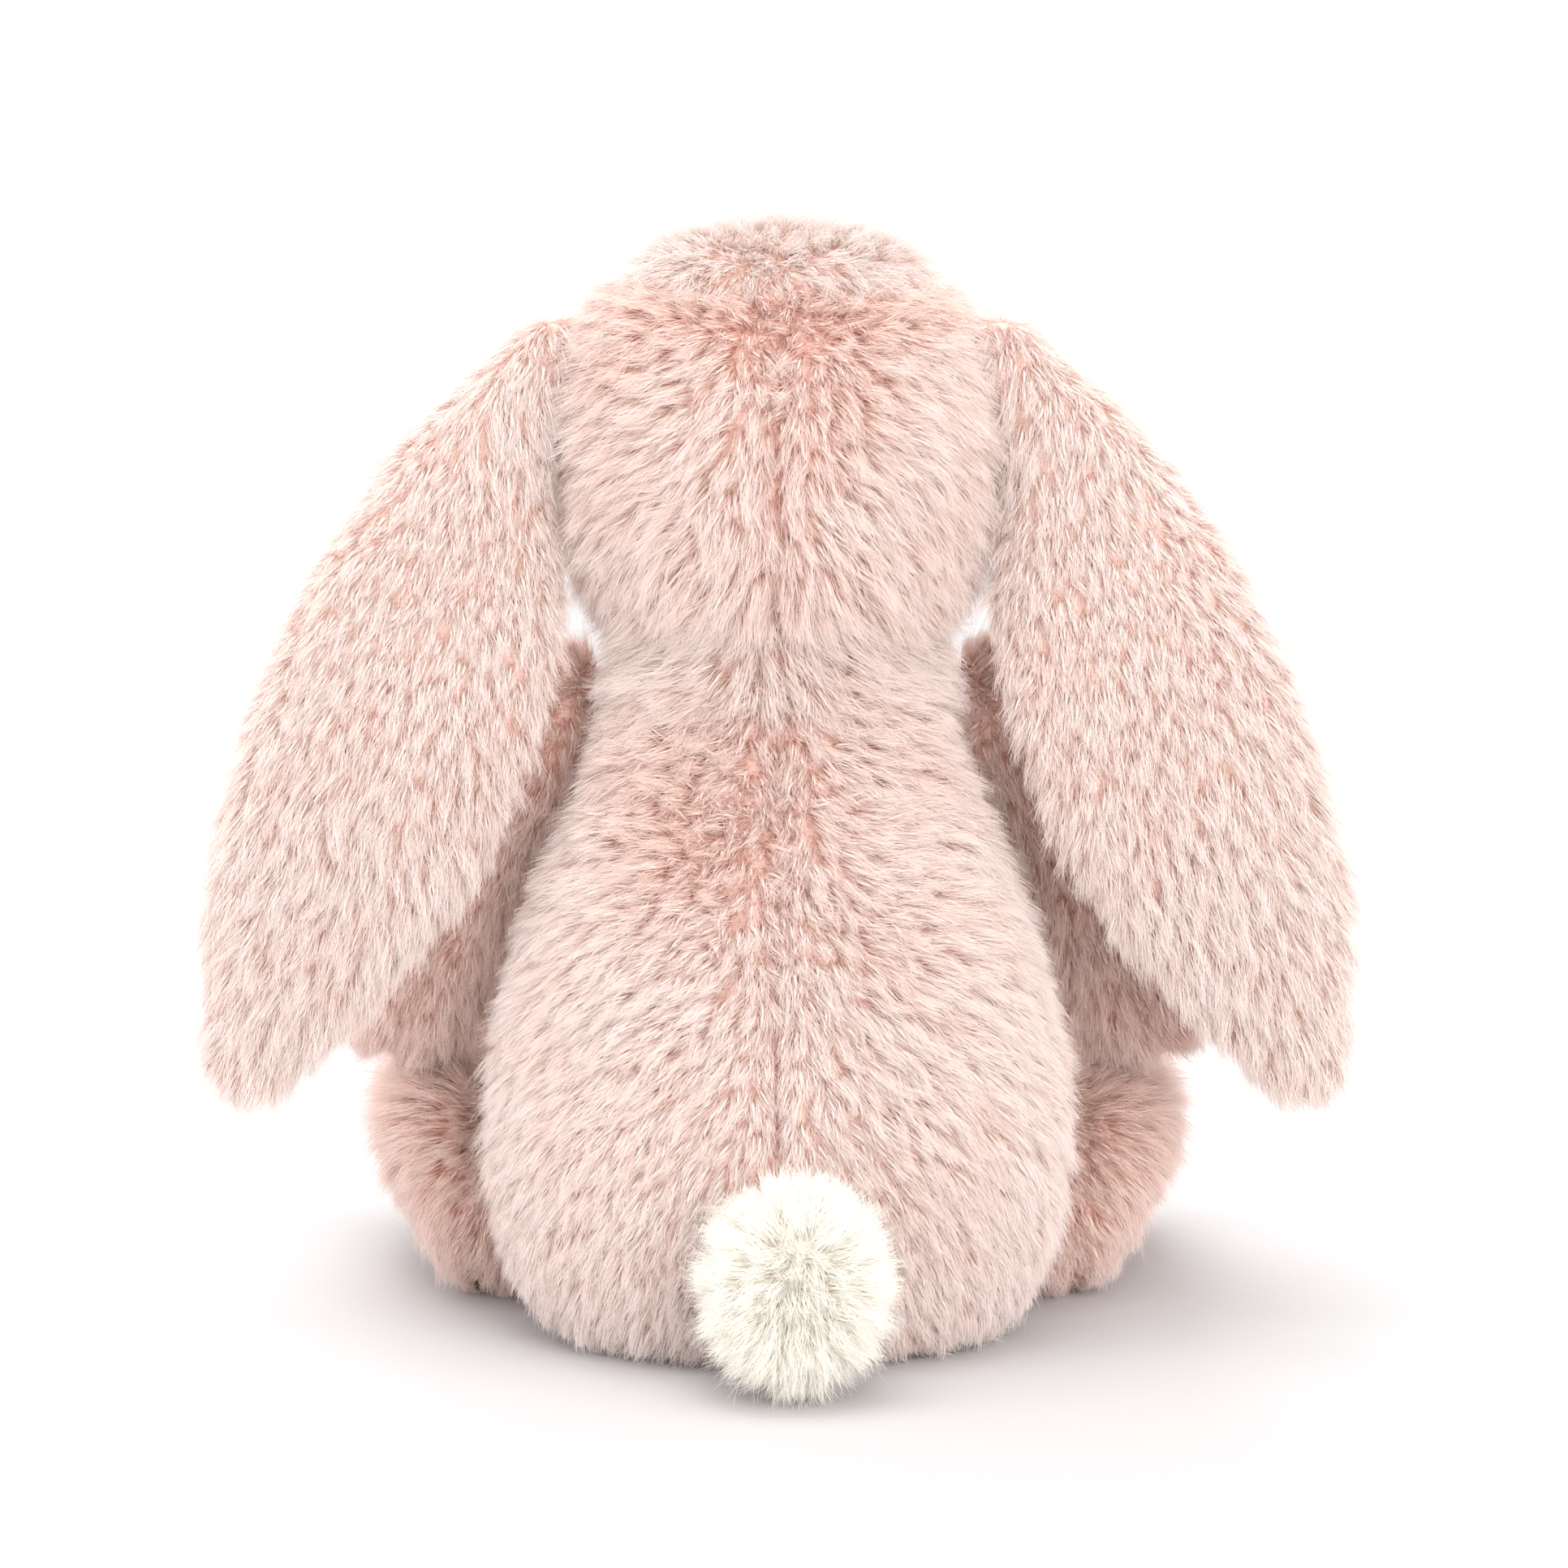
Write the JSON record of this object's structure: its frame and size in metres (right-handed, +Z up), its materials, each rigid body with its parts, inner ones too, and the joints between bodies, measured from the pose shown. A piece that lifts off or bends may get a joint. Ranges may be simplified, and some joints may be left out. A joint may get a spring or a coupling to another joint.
{
  "type": "stuffed rabbit",
  "caption": "Seated plush rabbit with long drooping ears, soft arms and legs and a round pompom tail, in pale pink fur fabric.",
  "frame": {"origin": "on the floor under the middle of the whole rabbit's box, from the soles to the tail", "axes": "+Z up, the rabbit faces -Y, +X is the rabbit's own left"},
  "size_m": [0.2246, 0.1978, 0.218],
  "materials": {
    "long_fur": "long pile fur fabric",
    "short_fur": "short pile fur fabric",
    "seat_fur": "pressed fur fabric",
    "sole_fur": "short pile fur fabric",
    "ear_lining": "short velvety pile",
    "pompom_yarn": "long cream pile",
    "stuffing": "loose polyester fibre",
    "pouch_cloth": "plain woven cloth",
    "pellets": "moulded beads",
    "washer_plastic": "moulded",
    "eye_plastic": "polished",
    "nose_thread": "satin stitch",
    "sewing_thread": "twisted thread"
  },
  "bodies": {
    "torso": {"torso_back_left": "long_fur", "torso_back_right": "long_fur", "belly_panel": "long_fur", "seat_panel": "seat_fur", "torso_stuffing": "stuffing", "pellet_pouch": "pouch_cloth", "pellet_fill": "pellets", "closing_stitch": "sewing_thread"},
    "head": {"head_back_left": "long_fur", "head_back_right": "long_fur", "face_left": "short_fur", "face_right": "short_fur", "crown_panel": "short_fur", "head_stuffing": "stuffing", "eye_left": "eye_plastic", "eye_right": "eye_plastic", "eye_washers": "washer_plastic", "nose": "nose_thread", "mouth_stitch": "sewing_thread"},
    "ear_left": {"ear_left_fur": "long_fur", "ear_left_lining": "ear_lining"},
    "ear_right": {"ear_right_fur": "long_fur", "ear_right_lining": "ear_lining"},
    "arm_left": {"arm_left_outer": "long_fur", "arm_left_inner": "long_fur", "arm_left_stuffing": "stuffing"},
    "arm_right": {"arm_right_outer": "long_fur", "arm_right_inner": "long_fur", "arm_right_stuffing": "stuffing"},
    "leg_left": {"leg_left_outer": "long_fur", "leg_left_inner": "long_fur", "foot_sole_left": "sole_fur", "leg_left_stuffing": "stuffing"},
    "leg_right": {"leg_right_outer": "long_fur", "leg_right_inner": "long_fur", "foot_sole_right": "sole_fur", "leg_right_stuffing": "stuffing"},
    "tail": {"tail_cover": "pompom_yarn", "tail_stuffing": "stuffing"}
  },
  "joints": [
    {"name": "head_nod", "type": "hinge", "parent": "torso", "child": "head", "pos_m": [0, 0.01508, 0.138], "axis": [1, 0, 0], "range_deg": [-8, 12], "stiffness_Nm_per_rad": 0.6},
    {"name": "ear_left_lift", "type": "hinge", "parent": "head", "child": "ear_left", "pos_m": [0.04709, 0.01408, 0.19321], "axis": [0, -1, 0], "range_deg": [0, 90]},
    {"name": "ear_right_lift", "type": "hinge", "parent": "head", "child": "ear_right", "pos_m": [-0.04709, 0.01408, 0.19321], "axis": [0, 1, 0], "range_deg": [0, 90]},
    {"name": "arm_left_raise", "type": "hinge", "parent": "torso", "child": "arm_left", "pos_m": [0.04199, -0.00384, 0.12158], "axis": [-1, 0, 0], "range_deg": [0, 85]},
    {"name": "arm_right_raise", "type": "hinge", "parent": "torso", "child": "arm_right", "pos_m": [-0.04199, -0.00384, 0.12158], "axis": [-1, 0, 0], "range_deg": [0, 85]},
    {"name": "leg_left_splay", "type": "hinge", "parent": "torso", "child": "leg_left", "pos_m": [0.06037, -0.02273, 0.02127], "axis": [0, 0, 1], "range_deg": [-10, 25]},
    {"name": "leg_right_splay", "type": "hinge", "parent": "torso", "child": "leg_right", "pos_m": [-0.06037, -0.02273, 0.02127], "axis": [0, 0, -1], "range_deg": [-10, 25]},
    {"name": "tail_wag", "type": "hinge", "parent": "torso", "child": "tail", "pos_m": [0, 0.06773, 0.0215], "axis": [0, 0, 1], "range_deg": [-8, 8], "stiffness_Nm_per_rad": 0.02}
  ]
}
